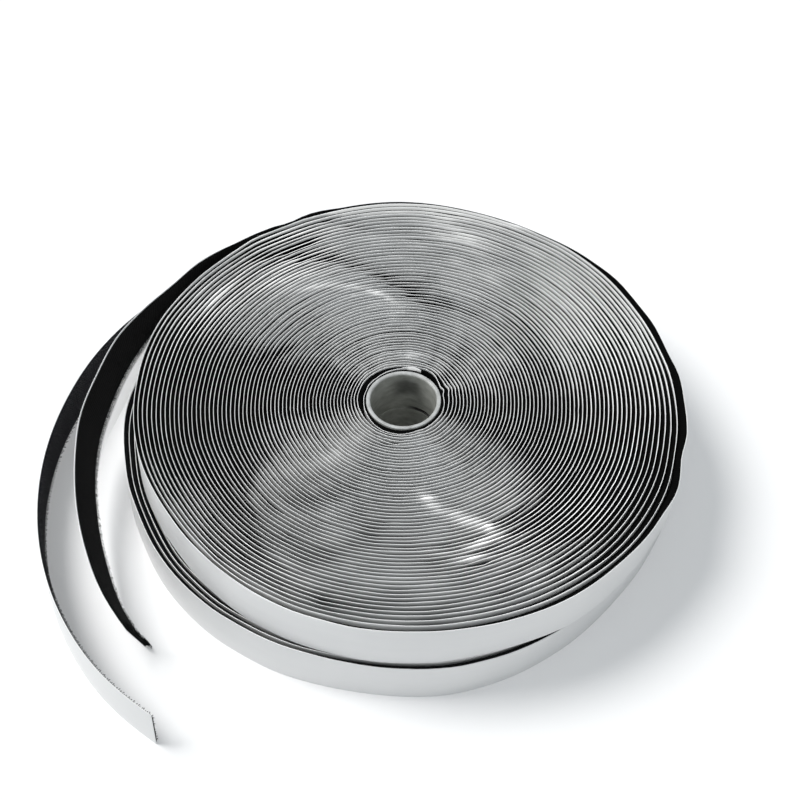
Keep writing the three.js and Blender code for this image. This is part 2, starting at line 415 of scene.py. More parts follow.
# Millimetres and azimuths in degrees, counter-clockwise from the right, as in the CAD. The tail
# leaves the roll at a radius and an azimuth, first clears the wider roll, and then reaches on. Its
# way out, the height of its foot and its lean are shares at equal steps of its sweep. A swell is
# where the last turns stand out (or in): size, azimuth, spread and the share left one turn below.
# A slant is the same for a foot that is drawn in under its top. Trims are how much of the top
# margin is worn off, by degrees past the end of the last turn.
rolls = {
    "hook": dict(
        base=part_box("hook_roll_core")[0][2],
        radius=121.0,
        clearing=0.0,
        tail_start=108,
        core_start=20,
        sweep=127,
        reach=53.0,
        lean=0,
        out=[0, 0.05, 0.17, 0.3, 0.4, 0.49, 0.57, 0.66, 0.75, 0.84, 0.92, 0.98, 1],
        foot=[0] * 13,
        leans=[0] * 13,
        swells=[
            (2.9, 172, 42, 0.92),
            (2.3, 171, 20, 0.92),
            (0.9, 225, 50, 0.9),
            (1.1, 218, 26, 0.92),
            (0.8, 286, 40, 0.9),
            (-0.9, 324, 32, 0.9),
        ],
        slants=[(3.2, 318, 46, 0.9)],
        trims=[
            (-218, 0), (-206, 1.4), (-170, 1.4), (-163, 0), (0, 0), (8, 1.5),
            (45, 1.5), (60, 1.0), (75, 1.0), (100, 0.1), (127, 0.1),
        ],
        rim_sway=0.5,
        seed=11,
    ),
    "loop": dict(
        base=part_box("loop_roll_core")[0][2],
        radius=118.6,
        clearing=2.4,
        tail_start=122,
        core_start=65,
        sweep=100.2,
        reach=19.4,
        lean=20,
        out=[0, 0.26, 0.38, 0.38, 0.41, 0.46, 0.57, 0.7, 0.79, 0.87, 0.99, 1.14, 1.24],
        foot=[1, 1, 1, 0.98, 0.96, 0.93, 0.79, 0.65, 0.5, 0.34, 0.2, 0.1, 0.04],
        leans=[0, -0.24, -0.38, -0.39, -0.08, 0.33, 0.51, 0.75, 0.84, 0.99, 1.02, 1.0, 1.0],
        swells=[
            (5.2, -27, 46, 0.72),
            (1.7, 5, 32, 0.9),
            (0.9, -38, 24, 0.9),
            (1.9, 30, 30, 0),
            (0.7, 8, 10, 0),
            (-1.0, -40, 20, 0),
            (-0.6, -14, 6, 0),
            (-0.5, -29, 7, 0),
            (1.1, 101, 28, 0.2),
            (2.1, 119, 17, 0.25),
            (0.7, 109, 6, 0),
            (-0.6, 116, 5, 0),
            (1.6, -4, 40, 0),
            (-1.6, -4, 40, 0.9),
            (-0.7, -15, 7, 0.2),
            (0.4, -24, 6, 0.2),
            (-0.5, 12, 6, 0),
            (0.3, 22, 6, 0),
            (0.35, 37, 7, 0),
            (-0.8, 117, 5, 0.5),
            (0.5, 126, 5, 0.6),
            (-2.3, 216, 54, 0.9),
            (-0.9, 24, 25, 0.8),
            (1.3, 92, 36, 0.86),
            (-2.2, 128, 36, 0.93),
            (2.4, 128, 40, 0.82),
            (1.2, 266, 50, 0.55),
            (-1.2, 266, 50, 0.93),
            (1.6, -75, 60, 0.8),
            (1.7, -66, 24, 0.75),
            (0.4, -100, 44, 0.8),
        ],
        slants=[(2.4, -28, 34, 0), (1.5, -66, 20, 0)],
        trims=[
            (-210, 0), (-195, 0.3), (-160, 0.95), (-148, 0.95), (-143, 0.5), (-124, 0.5),
            (-112, 1.5), (6, 1.5), (16, 0.85), (32, 0.6), (90, 0.5),
        ],
        rim_sway=0,
        seed=23,
    ),
}
TAIL_CLEAR_SHARES = [0, 0.1, 0.4, 0.8] + [1] * 9
# The tail is free of the roll's hold after this share of its sweep.
TAIL_FREE = 1 / 12
# How many sines make up each kind of waviness.
RIPPLE_WAVES = 14
PRESSED_WAVES = 16


def smooth_table(values, along):
    """A Catmull-Rom curve through equally spaced values, read at shares from 0 to 1."""
    values = np.array(values, float)
    padded = np.concatenate([[2 * values[0] - values[1]], values, [2 * values[-1] - values[-2]]])
    place = np.clip(along, 0, 1) * (len(values) - 1)
    span = np.minimum(place.astype(int), len(values) - 2)
    t = place - span
    a, b, c, d = (padded[span + i] for i in range(4))
    return b + (t * (c - a) + t**2 * (2 * a - 5 * b + 4 * c - d) + t**3 * (3 * (b - c) + d - a)) / 2


def ripple(angle, seed, paces, size):
    """Waviness that neighbouring turns don't share: a sum of sines of the winding angle, with a
    random pace between two limits and a random phase, scaled so that its usual height is size."""
    rng = np.random.default_rng(seed)
    pace = rng.uniform(*paces, RIPPLE_WAVES)
    phase = rng.uniform(0, 2 * math.pi, RIPPLE_WAVES)
    total = np.sin(angle[:, None] * pace + phase).sum(axis=1)
    return size * total / math.sqrt(RIPPLE_WAVES / 2)


def pressed(angle, radius, seed, waves, drift, size):
    """Waviness that passes on from turn to turn: each sine has a whole number of waves round the
    roll and drifts with the radius, so it shows as slanting rays and patches."""
    rng = np.random.default_rng(seed)
    count = rng.integers(*waves, PRESSED_WAVES)
    drifts = rng.uniform(-drift, drift, PRESSED_WAVES)
    phase = rng.uniform(0, 2 * math.pi, PRESSED_WAVES)
    total = np.sin(angle[:, None] * count + radius[:, None] * drifts + phase).sum(axis=1)
    return size * total / math.sqrt(PRESSED_WAVES / 2)


def wind(roll):
    """The path of a roll's liner, from its start at the core to the free end of the tail.

    The first turns lie on the core and climb over the tape's starting end, and the later ones are
    an even spiral, whose pitch grows steadily outwards. Returned per station: foot point, way out,
    way up, pitch, winding angle, degrees from the start and from the end of the last turn, radius,
    calm (1 on the roll, 0 on the tail), slant, share of the tail and length along the strip, which
    is zero where the last turn begins.
    """
    start, end = roll["core_start"], roll["tail_start"]
    turns = TURNS + (end - start) % 360 / 360
    wound = np.linspace(0, turns, int(turns * STEPS_PER_TURN) + 1)
    tail = np.linspace(0, 1, TAIL_STEPS + 1)[1:]
    azimuth = np.concatenate([end - 360 * (turns - wound), end + roll["sweep"] * tail])
    angle = np.radians(azimuth)

    span = roll["radius"] * MM - FIRST_RADIUS
    last_pitch = 2 * span / turns - FIRST_PITCH
    climb = np.clip((wound % 1 - 1) / CLIMB_SHARE + 1, 0, 1)
    stepped = np.floor(wound) + np.sin(climb * math.pi / 2)
    settled = 1 - np.exp(-wound / SETTLING_TURNS)
    count = stepped + (wound - stepped) * settled
    growth = FIRST_PITCH * count + (last_pitch - FIRST_PITCH) * count**2 / (2 * turns)
    early = np.exp(-(wound - 1) / SETTLING_TURNS) * (wound > EARLY_FROM)
    from_start = [(size, start + way, spread) for size, way, spread in START_SWELLS]
    for size, centre, spread in EARLY_SWELLS + from_start:
        growth += size * MM * early * window(azimuth[: wound.size], centre, spread)
    for size, centre, spread in FIRST_LIE:
        growth += size * MM * (wound < FIRST_TO) * window(azimuth[: wound.size], centre, spread)
    size, way, spread = START_LIE
    growth += size * MM * (wound < 1) * window(azimuth[: wound.size], start + way, spread)

    out = roll["reach"] * smooth_table(roll["out"], tail)
    out += roll["clearing"] * smooth_table(TAIL_CLEAR_SHARES, tail)
    radius = np.concatenate([FIRST_RADIUS + growth, (roll["radius"] + out) * MM])
    pitch = FIRST_PITCH + (last_pitch - FIRST_PITCH) * np.clip(wound / turns, 0, 1)
    pitch = np.concatenate([pitch, np.full(tail.size, last_pitch)])
    calm = np.concatenate([np.ones(wound.size), np.clip(1 - tail / TAIL_FREE, 0, 1)])
    grown = np.clip((radius - FIRST_RADIUS) / span, 0, 1)

    def humps(table):
        """The sum of a table's humps, each fading by its share from the last turn inwards."""
        total = np.zeros(azimuth.size)
        for size, centre, spread, left in table:
            last = end - (end - centre) % 360
            below = np.clip(np.round((last - azimuth) / 360), 0, None)
            total += size * MM * window(azimuth, centre, spread) * left**below * calm
        return total

    seed, held = roll["seed"], calm * grown
    radius += humps(roll["swells"])
    radius += held * pressed(angle, radius, seed, waves=(3, 14), drift=90, size=0.22 * MM)
    radius += held * pressed(angle, radius, seed + 1, waves=(8, 30), drift=260, size=0.07 * MM)
    radius += calm * ripple(angle, seed + 2, paces=(2, 9), size=0.03 * MM)

    foot_height = np.full(azimuth.size, roll["base"])
    foot_height[wound.size :] = roll["base"] * smooth_table(roll["foot"], tail)
    lean = np.zeros(azimuth.size)
    lean[wound.size :] = np.radians(roll["lean"] * smooth_table(roll["leans"], tail))

    x, y = axis_x + radius * np.cos(angle), axis_y + radius * np.sin(angle)
    foot = np.stack([x, y, foot_height], axis=-1)
    way = np.gradient(foot, axis=0)
    level = np.stack([way[:, 1], -way[:, 0], 0 * lean], axis=-1)
    level /= np.linalg.norm(level, axis=1)[:, None]
    upright = np.array([0, 0, 1.0])
    length = np.cumsum(np.linalg.norm(np.diff(foot, axis=0, prepend=foot[:1]), axis=1))
    last_turn = length[np.searchsorted(wound, turns - 1)]
    return dict(
        foot=foot,
        outward=level * np.cos(lean)[:, None] - upright * np.sin(lean)[:, None],
        up=upright * np.cos(lean)[:, None] + level * np.sin(lean)[:, None],
        pitch=pitch,
        angle=angle,
        radius=radius,
        calm=calm,
        slant=humps(roll["slants"]),
        since_start=np.degrees(angle - angle[0]),
        past=azimuth - end,
        on_tail=np.concatenate([np.zeros(wound.size), tail]),
        length=length - last_turn,
    )


def strip_points(path, depth, rise):
    """Points of a strip at a depth below the liner's outer face and a rise above its foot, both
    arrays of stations by points. The slant is added to the depth, less and less up the width."""
    slanted = depth + path["slant"][:, None] * np.clip(1 - rise / LINER_WIDTH, 0, 1)
    inward = path["outward"][:, None] * -slanted[..., None]
    return path["foot"][:, None] + inward + path["up"][:, None] * rise[..., None]


def strip_uv(path, rise):
    """Length along the strip and place across it, both in metres."""
    return np.stack([np.broadcast_to(path["length"][:, None], rise.shape), rise], axis=-1)


# Where the top margins lie to the front, which shows the black behind them, or to the back, which
# shows their pale faces. Patches: millimetres to the front, then in millimetres from the axis the
# place and the half lengths along and across, and the slope of the long way.
SWAYS = [
    (-0.1, 10, 84, 90, 36, 0),
    (0.35, 14, 58, 34, 8, -24),
    (-0.4, -42, 66, 46, 14, -14),
    (-0.3, 62, 64, 34, 20, -38),
    (-0.35, 30, 96, 52, 12, -16),
    (0.8, -50, 90.5, 18, 3.5, 30),
    (0.8, -32, 106, 15, 2.2, -17),
    (0.6, -56, 26, 20, 4, 25),
    (0.4, -72, -44, 30, 14, -60),
    (0.35, -40, -52, 34, 12, 20),
    (-0.35, -8, -92, 30, 9, -6),
    (1.4, 28, -86, 8, 1.3, 6),
    (-0.5, -4, -82, 10, 7, -30),
    (-0.3, 8, -96, 12, 4, -14),
    (-0.7, 3, 25.5, 12, 3, -8),
    (0.5, 74, -44, 30, 22, 50),
    (-0.35, 55, -88, 30, 14, 30),
    (-0.45, -90, 54, 30, 16, 60),
    (0.24, 50, 90, 30, 14, -28),
    (0.9, -5, -24, 5, 1.6, 0),
]
# Rays: size, azimuth at the middle radius, spread, degrees of turn for each millimetre outwards,
# and the two radii between which the ray lies.
RAY_MIDDLE = 70
RAY_EDGE = 8
RAYS = [
    (-0.25, 90, 85, 0, 93, 130),
    (-0.45, 90, 95, 0, 108, 130),
    (-0.3, 95, 62, 0, 40, 130),
    (-0.45, 24, 34, 0, 66, 130),
    (0.75, 174, 20, 0, 18, 112),
    (0.35, 162, 18, 0, 14, 46),
    (0.9, 252, 66, 0, 15, 21),
    (-0.4, 147, 17, 0, 44, 116),
    (0.5, 196, 22, 0, 60, 112),
    (0.8, 339, 26, -0.24, 18, 108),
    (-0.3, 286, 30, 0, 14, 80),
    (-0.35, 294, 26, 0, 82, 122),
    (-0.5, 255, 75, 0, 108, 130),
    (0.3, 240, 24, 0, 78, 98),
]
# Folds across the turns: the line's points, how far the margins lie to the front on its left side
# and on its right side, and how far each of the two reaches from the line.
FOLDS = [
    ([(-78, 78), (-58, 84), (-33, 81), (-19, 77), (-8, 70), (4, 58), (14, 50)], 0.7, 6, -0.35, 14),
    ([(-30, 101), (0, 98), (24, 92)], 0.4, 5, -0.2, 12),
    ([(-42, -20), (-62, -38), (-65, -52), (-60, -64), (-59, -76), (-50, -88)], -0.12, 14, 0.45, 16),
    ([(66, -20), (60, -48), (34, -66)], 0.5, 14, -0.2, 10),
]
# Glares, where the margins lie back and get a painted glare that glows: strength, then as for a
# patch.
GLARES = [
    (0.8, 11, -55, 8, 3.2, -48),
    (0.75, 23, -62.5, 9, 3.4, -24),
    (0.8, 34.5, -67.5, 7, 2.6, -36),
    (1.0, 33, -74.3, 10, 1.7, 26),
    (1.2, 26.5, -83.2, 9, 1.2, 8),
    (0.35, 13, -80, 9, 1.2, 4),
    (0.5, -39, 65.5, 10, 1.6, 14),
    (0.7, -28, 66.5, 9, 1.2, 2),
    (0.75, -15, 63.5, 8, 1.2, -22),
    (0.7, -7, 59, 5, 1.2, -42),
    (1.1, -81.5, 61.4, 14, 1.8, 53),
    (0.5, -91, 62, 8, 1.2, 55),
]
# Places where the margins lean to the front over dark gaps and their edges get a painted glint that
# glows: as for a patch.
EDGE_GLINTS = [
    (0.9, -56, 84, 40, 24, 34),
    (0.7, -92, 48, 30, 22, 62),
    (0.85, 62, -68, 52, 36, 46),
    (0.45, 92, -14, 40, 24, 82),
    (0.45, 96, 24, 40, 24, -76),
    (0.5, -64, -84, 40, 16, -36),
]
GLINT_LEAN = 0.62
GLARE_LEAN = 0.75
MOST_SWAY = 0.75
# How uneven each of these is along the strip, and how softly a fold changes sides and ends.
SWAY_RAGGED = 0.25
GLARE_RAGGED = 0.35
GLINT_RAGGED = 0.5
FOLD_RAGGED = 0.9
FOLD_SOFT = 1.2
FOLD_ENDS = 6
# The hook roll's rim, where the margins lie to the front, and the kinks, strewn over the face.
RIM_FROM = 98
KINKS = 260
KINK_SIZE = 0.16
KINK_REACH = 115
KINK_WIDTHS = (1.4, 4)
# The flap at the strip's start leans out and stands up above the later turns. Its place and its
# end are in degrees past the start, and its spreads are in degrees to each side.
START_PLACE = 12
START_LEAN = -1.3
START_LEAN_SPREAD = 22
START_RISE = 0.7 * MM
START_RISE_SPREAD = 18
START_END = 25


def turned_bells(table, x, y):
    """The sum of a table's bells, each exp(-2 d squared) over an ellipse turned by its slope."""
    total = 0 * x
    for size, centre_x, centre_y, long, wide, slope in table:
        turn = math.radians(slope)
        away_x, away_y = x - centre_x, y - centre_y
        on = (away_x * math.cos(turn) + away_y * math.sin(turn)) / long
        off = (away_y * math.cos(turn) - away_x * math.sin(turn)) / wide
        total += size * np.exp(-2 * (on**2 + off**2))
    return total


def start_hump(path, spread):
    """A hump over the flap at the strip's start, and nothing on the turns above it."""
    since_start = path["since_start"]
    return window(since_start, START_PLACE, spread) * (since_start < 180)


def brushed(path, seed, rim_sway):
    """How far each station's top margin lies to the front, in millimetres, how much painted glare
    its face and edge get and how much painted glint its edge gets, each from 0 to 1, and how far it
    is kinked inwards. The way to the front is the sum of the rays, the patches, the folds and the
    glint places, less the glares. A fold fades with the distance from its line as exp(-distance /
    reach) and towards its two ends. The kinks are small bells of random place, size and width."""
    x, y = (path["foot"][:, :2] - (axis_x, axis_y)).T / MM
    azimuth, radius = np.degrees(np.arctan2(y, x)), np.hypot(x, y)
    ragged = ripple(path["angle"], seed=31, paces=(3, 17), size=1)
    sway = START_LEAN * start_hump(path, START_LEAN_SPREAD)
    for size, centre, spread, turn, inner, outer in RAYS:
        edge = min(RAY_EDGE, (outer - inner) / 2)
        between = np.clip((radius - inner) / edge, 0, 1) * np.clip((outer - radius) / edge, 0, 1)
        sway += size * between * window(azimuth, centre + turn * (radius - RAY_MIDDLE), spread)
    for line, left, left_reach, right, right_reach in FOLDS:
        nearest, signed, place = np.full(x.size, np.inf), np.zeros(x.size), np.zeros(x.size)
        for i, ((ax, ay), (bx, by)) in enumerate(zip(line, line[1:])):
            span = math.hypot(bx - ax, by - ay)
            way_x, way_y = (bx - ax) / span, (by - ay) / span
            t = np.clip((x - ax) * way_x + (y - ay) * way_y, 0, span)
            off_x, off_y = x - ax - t * way_x, y - ay - t * way_y
            distance = np.hypot(off_x, off_y)
            closer = distance < nearest
            nearest[closer] = distance[closer]
            side = np.sign(way_x * off_y - way_y * off_x)
            signed[closer] = (distance * side)[closer]
            place[closer] = ((i + t / span) / (len(line) - 1))[closer]
        ends = np.clip(FOLD_ENDS * place * (1 - place), 0, 1) * (1 + SWAY_RAGGED * ragged)
        signed += FOLD_RAGGED * ragged
        on_left = left * np.exp(-np.abs(signed) / left_reach)
        on_right = right * np.exp(-np.abs(signed) / right_reach)
        side_share = 0.5 + 0.5 * np.tanh(signed / FOLD_SOFT)
        sway += ends * (on_left * side_share + on_right * (1 - side_share))
    sway += turned_bells(SWAYS, x, y) * (1 + SWAY_RAGGED * ragged)
    sway += rim_sway * np.clip((radius - RIM_FROM) / RAY_EDGE, 0, 1)
    shine = turned_bells(GLARES, x, y) * np.clip(1 + GLARE_RAGGED * ragged, 0, 2)
    edge_glint = turned_bells(EDGE_GLINTS, x, y) * np.clip(1 + GLINT_RAGGED * ragged, 0, 2)
    sway = np.minimum(sway - GLARE_LEAN * shine + GLINT_LEAN * edge_glint, MOST_SWAY)
    rng = np.random.default_rng(seed)
    far, round_axis = KINK_REACH * np.sqrt(rng.random(KINKS)), rng.uniform(0, 2 * math.pi, KINKS)
    places = far * np.cos(round_axis), far * np.sin(round_axis)
    widths = rng.uniform(*KINK_WIDTHS, KINKS)
    kinks = zip(rng.normal(0, KINK_SIZE, KINKS), *places, widths, widths, 0 * widths)
    return sway, np.clip(shine, 0, 1), np.clip(edge_glint, 0, 1), turned_bells(list(kinks), x, y)


# The waves are calmer on the two sides and where the margins lie to the front.
SIDE_CALM = 0.12
SWAY_CALM = 0.7
SWAY_ROUND = 0.1
TAIL_BEND = 0.25
EDGE_WORN = 0.15 * MM
FIRST_WORN = 0.1 * MM
FLAP_BEND = 0.8
LEAST_MARGIN = 0.1 * MM
# Sides where the edges are worn down: millimetres, azimuth, spread.
SIDE_WEAR = [(0.35, 172, 50), (0.175, 345, 40)]
# How far the margins lean in to the core at the rim, and less towards the core: millimetres,
# azimuth, spread.
SIDE_LEANS = [(0.05, 182, 32), (-0.3, 8, 30)]


def liner_section(path, seed, foot_flap, trims, side_leans):
    """Eight points: both faces at the foot, at the two edges of the tape and at the top. The top
    margin bends in to the core or out, by its waves, kinks and leans and by its way to the front
    times the sine of the azimuth. Its edge rises and falls on an arc and is worn and trimmed, and
    the foot flap hangs below the tape."""
    angle, radius, calm = path["angle"], path["radius"], path["calm"]
    azimuth = np.degrees(angle)
    bend = pressed(angle, radius, seed, waves=(3, 13), drift=170, size=0.08 * MM)
    bend += pressed(angle, radius, seed + 1, waves=(9, 40), drift=420, size=0.06 * MM)
    bend *= SIDE_CALM + (1 - SIDE_CALM) * np.abs(np.sin(angle))
    bend += ripple(angle, seed + 2, paces=(3, 17), size=0.03 * MM)
    bend *= 1 - SWAY_CALM * np.clip(path["sway"] / MOST_SWAY, 0, 1)
    bend += path["kink"] * MM
    for size, centre, spread in side_leans:
        bend += size * MM * window(azimuth, centre, spread) * radius / radius.max()
    sway, forward = path["sway"] * MM, np.sin(angle)
    bend += np.maximum(sway, 0) * forward
    bend += np.minimum(sway, 0) * forward / np.sqrt(forward**2 + SWAY_ROUND)
    bend = np.clip(bend, -MOST_BEND, MOST_BEND) * (TAIL_BEND + (1 - TAIL_BEND) * calm)
    lift = pressed(angle, radius, seed + 3, waves=(2, 9), drift=120, size=0.1 * MM)
    lift += ripple(angle, seed + 4, paces=(0.1, 0.6), size=0.12 * MM)
    lift += ripple(angle, seed + 5, paces=(14, 50), size=0.05 * MM)
    lift = np.minimum(lift - EDGE_WORN, 0) * calm
    worn = np.interp(path["past"], *np.transpose(trims)) * MM
    bend *= np.clip(1 - worn / LINER_MARGIN, 0, 1)
    lift += np.sqrt(LINER_MARGIN**2 - bend**2) - LINER_MARGIN - worn
    for size, centre, spread in SIDE_WEAR:
        lift -= calm * size * MM * window(azimuth, centre, spread)
    past_flap = path["since_start"] > START_END
    lift -= FIRST_WORN * np.exp(-((path["since_start"] / 360) ** 8)) * past_flap
    top = LINER_WIDTH + lift + START_RISE * start_hump(path, START_RISE_SPREAD)
    flat = np.zeros(angle.size)
    high = np.minimum(LINER_WIDTH - LINER_MARGIN, top - LEAST_MARGIN)
    rise = [flat - foot_flap, flat + LINER_MARGIN, high, top]
    depth = [foot_flap * FLAP_BEND, flat, flat, bend]
    inner = [d + LINER_THICKNESS for d in depth[::-1]]
    return np.stack(depth + inner, axis=1), np.stack(rise + rise[::-1], axis=1)


# The film is cloudy. Painted shade darkens it between the turns, everywhere but near its top edge
# and on the outside of the last turn. Its edges get a painted highlight, its faces a painted glare
# in the glares, and the glares, the glints and the hanging flap glow as painted light; the flap's
# glow stands in for light through the film.
LINER_DULL = (0.83, 0.83, 0.83, 1)
LINER_BRIGHT = (0.88, 0.88, 0.875, 1)
LINER_SHADE = (0.78, 0.78, 0.77, 1)
LINER_GLARE = (0.97, 0.97, 0.96, 1)
LINER_CLOUDS = (9, 60, 1)
EDGE_FROM = LINER_WIDTH - 1.0 * MM
EDGE_TO = LINER_WIDTH - 0.3 * MM
EDGE_HIGHLIGHT = 0.36
LAST_TURN_FADE = 20 * MM
FACE_SHINE = 0.45
GLARE_LIGHT = 0.5
FLAP_GLOW = 0.75
FLAP_GLOW_FROM = -0.7 * MM
FLAP_GLOW_TO = -1.1 * MM

liner_material, shader, add, link = new_material("release_liner", Specular_IOR_Level=0.45)
place = add("ShaderNodeTexCoord")
across = add("ShaderNodeSeparateXYZ")
past_edge = add("ShaderNodeMapRange", interpolation_type="SMOOTHSTEP")
past_edge.inputs["From Min"].default_value = EDGE_FROM
past_edge.inputs["From Max"].default_value = EDGE_TO
last_turn = add("ShaderNodeMapRange")
last_turn.inputs["From Max"].default_value = LAST_TURN_FADE
# Painted shade between the turns: darker except near the top edge and on the last turn's outside.
unshaded = add("ShaderNodeMath", operation="MAXIMUM")
shade = add("ShaderNodeValToRGB")
shade.color_ramp.elements[0].color = LINER_SHADE
shade.color_ramp.elements[1].color = (1, 1, 1, 1)
link(place.outputs["UV"], across.inputs["Vector"])
link(across.outputs["Y"], past_edge.inputs["Value"])
link(across.outputs["X"], last_turn.inputs["Value"])
link(past_edge.outputs["Result"], unshaded.inputs[0])
link(last_turn.outputs["Result"], unshaded.inputs[1])
link(unshaded.outputs[0], shade.inputs["Fac"])

film = add("ShaderNodeGroup", node_tree=mottle)
film.inputs["Stretch"].default_value = LINER_CLOUDS
film.inputs["Dull"].default_value = LINER_DULL
film.inputs["Bright"].default_value = LINER_BRIGHT
film.inputs["Smooth"].default_value = 0.3
film.inputs["Rough"].default_value = 0.5
shaded_film = add("ShaderNodeMix", data_type="RGBA", blend_type="MULTIPLY")
shaded_film.inputs[0].default_value = 1
relief = add("ShaderNodeBump", Strength=0.3, Distance=0.15 * MM)
link(place.outputs["UV"], film.inputs["Vector"])
link(film.outputs["Tint"], shaded_film.inputs[6])
link(shade.outputs["Color"], shaded_film.inputs[7])
link(film.outputs["Gloss"], shader.inputs["Roughness"])
link(film.outputs["Height"], relief.inputs["Height"])
link(relief.outputs["Normal"], shader.inputs["Normal"])

# Painted highlight and glow: the glares whiten the faces, the glints and all top edges whiten the
# edges, and the glares, the glints and the hanging flap glow.
shine = add("ShaderNodeAttribute", attribute_name="shine")
edge_glint = add("ShaderNodeAttribute", attribute_name="edge_glint")
bright_edge = add("ShaderNodeMath", operation="ADD")
face_shine = add("ShaderNodeMath", operation="MULTIPLY")
face_shine.inputs[1].default_value = FACE_SHINE
glare = add("ShaderNodeMath", operation="MULTIPLY_ADD")
edge_highlight = add("ShaderNodeMath", operation="MULTIPLY_ADD", use_clamp=True)
edge_highlight.inputs[1].default_value = EDGE_HIGHLIGHT
shining = add("ShaderNodeMix", data_type="RGBA")
shining.inputs[7].default_value = LINER_GLARE
flap_glow_mask = add("ShaderNodeMapRange")
flap_glow_mask.inputs["From Min"].default_value = FLAP_GLOW_FROM
flap_glow_mask.inputs["From Max"].default_value = FLAP_GLOW_TO
flap_glow_mask.inputs["To Max"].default_value = FLAP_GLOW
lit = add("ShaderNodeMath", operation="ADD")
link(shine.outputs["Fac"], bright_edge.inputs[0])
link(edge_glint.outputs["Fac"], bright_edge.inputs[1])
link(shine.outputs["Fac"], face_shine.inputs[0])
link(past_edge.outputs["Result"], glare.inputs[0])
link(bright_edge.outputs[0], glare.inputs[1])
link(face_shine.outputs[0], glare.inputs[2])
link(past_edge.outputs["Result"], edge_highlight.inputs[0])
link(glare.outputs[0], edge_highlight.inputs[2])
link(edge_highlight.outputs[0], shining.inputs[0])
link(shaded_film.outputs[2], shining.inputs[6])
link(shining.outputs[2], shader.inputs["Base Color"])
link(across.outputs["Y"], flap_glow_mask.inputs["Value"])
link(glare.outputs[0], lit.inputs[0])
link(flap_glow_mask.outputs["Result"], lit.inputs[1])
link(lit.outputs[0], shader.inputs["Emission Color"])
shader.inputs["Emission Strength"].default_value = GLARE_LIGHT

# How far the loop liner's foot hangs down past its margin: on the drooping tail, at equal steps
# along it, and over a stretch of the last turn, in degrees from its end, where it hides the seam.
TAIL_FLAP = 4.8 * MM
TAIL_FLAP_SHARES = [0, 0, 0, 0.2, 0.7, 1, 0.9, 0.4, 0.1, 0, 0, 0, 0]
SEAM_FLAP = 0.7 * MM
SEAM_FLAP_FROM, SEAM_FLAP_TO, SEAM_FLAP_FADE = -178, -146, 4

paths = {name: wind(roll) for name, roll in rolls.items()}
past, on_tail = paths["loop"]["past"], paths["loop"]["on_tail"]
over_seam = np.clip((past - SEAM_FLAP_FROM) / SEAM_FLAP_FADE, 0, 1)
over_seam *= np.clip((SEAM_FLAP_TO - past) / SEAM_FLAP_FADE, 0, 1)
loop_flap = TAIL_FLAP * smooth_table(TAIL_FLAP_SHARES, on_tail) + SEAM_FLAP * over_seam
flaps = {"hook": np.zeros(paths["hook"]["past"].size), "loop": loop_flap}
side_leans = {"hook": [], "loop": SIDE_LEANS}
for name, path in paths.items():
    roll, seed = rolls[name], rolls[name]["seed"]
    brushing = brushed(path, seed + 7, roll["rim_sway"])
    path["sway"], path["shine"], path["edge_glint"], path["kink"] = brushing
    depth, rise = liner_section(path, seed + 5, flaps[name], roll["trims"], side_leans[name])
    liner = skin_object(name + "_liner", strip_points(path, depth, rise), strip_uv(path, rise))
    # The painted glare and glint, handed to the liner's material.
    for key in ("shine", "edge_glint"):
        layer = liner.data.attributes.new(key, "FLOAT", "POINT")
        layer.data.foreach_set("value", np.repeat(path[key] * path["calm"], depth.shape[1]))
    liner.data.materials.append(liner_material)
    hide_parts(name + "_liner_outer_turns", name + "_liner_tail")
    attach(liner, name + "_roll")


# Tapes: woven nylon with a flat selvage along each edge. The face, hooks on one roll and loop
# pile on the other, looks in to the core, and its back is glued to the liner.
TAPE_WIDTH = 20 * MM
SELVAGE = 1.2 * MM
LEAST_TAPE = 0.6 * MM
MOST_TAPE = 3.2 * MM
AIR_GAP = 0.3 * MM
SELVAGE_SHARE = 0.5
FIRST_TURN_RISE = 0.45 * MM
FIRST_TURN_SWELL = 1.0 * MM
GLUE = 0.04 * MM
TAIL_THICKNESS = {"hook": 0.5 * MM, "loop": 1.0 * MM}


def tape_section(path, seed, tail_thickness):
    """Six points: the flat back, the two thin selvages and the face between them. In the roll the
    face springs out to fill the room above the turn below, less the liner, the glue and some air,
    between a least and a most. On the core it has the room down to the tube, and a foot that is
    drawn in has less. Selvages are a share of the face's thickness."""
    angle, radius, calm = path["angle"], path["radius"], path["calm"]
    first = np.exp(-((path["since_start"] / 360) ** 4))
    below = angle - 2 * math.pi
    room = radius - np.interp(below, angle, radius, left=np.nan)
    room = np.where(np.isnan(room), path["pitch"], room)
    drawn_in = path["slant"] - np.interp(below, angle, path["slant"])
    thick = np.clip(room - LINER_THICKNESS - GLUE - AIR_GAP, LEAST_TAPE, MOST_TAPE)
    thick = thick * calm + tail_thickness * (1 - calm)
    thick += FIRST_TURN_SWELL * first
    on_core = radius - CORE_BORE_RADIUS - CORE_WALL - LINER_THICKNESS - 2 * GLUE
    thick = np.where(below < angle[0], np.minimum(thick, on_core), thick)
    low = np.maximum(thick - np.maximum(drawn_in, 0), np.minimum(thick, LEAST_TAPE))
    back = LINER_THICKNESS + GLUE + 0 * angle
    edge = LINER_MARGIN + calm * ripple(angle, seed, paces=(0.1, 2.5), size=0.1 * MM)
    edge += FIRST_TURN_RISE * first
    top = edge + TAPE_WIDTH
    full = SELVAGE_SHARE + (1 - SELVAGE_SHARE) * first
    depth = [back, back, back + thick * full, back + thick, back + low, back + low * full]
    rise = [edge, top, top, top - SELVAGE, edge + SELVAGE, edge]
    return np.stack(depth, axis=1), np.stack(rise, axis=1)


THREAD_SHARE = 0.3
CLOTH_DARK_AT = 0.4
CLOTH_LIGHT_AT = 1.05


